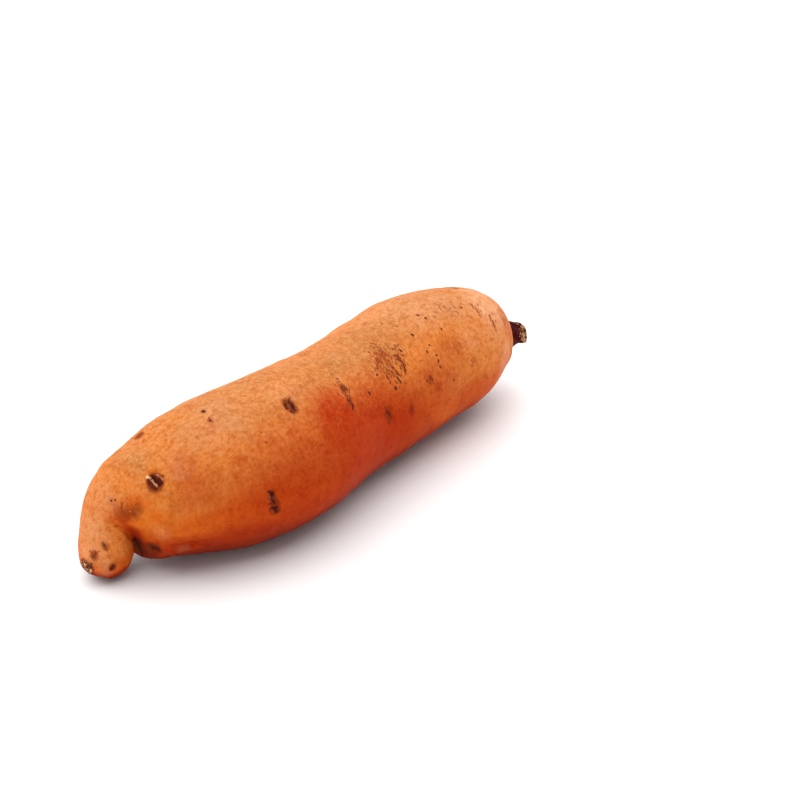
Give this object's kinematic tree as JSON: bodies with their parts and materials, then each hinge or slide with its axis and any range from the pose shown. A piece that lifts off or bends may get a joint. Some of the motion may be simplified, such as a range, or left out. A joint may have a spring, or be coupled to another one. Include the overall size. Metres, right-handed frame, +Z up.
{
  "type": "sweet potato",
  "caption": "Whole sweet potato lying on its side, with a hooked root tip at one end and a broken vine stub at the other.",
  "frame": {"origin": "on the surface that the root lies on, under the middle of its bounding box", "axes": "+X along the root towards the vine stub, so that the hooked root tip is at -X; +Z up"},
  "size_m": [0.2072, 0.062, 0.0548],
  "materials": {
    "skin": null
  },
  "bodies": {
    "root": {"sweet_potato": "skin"}
  },
  "joints": []
}
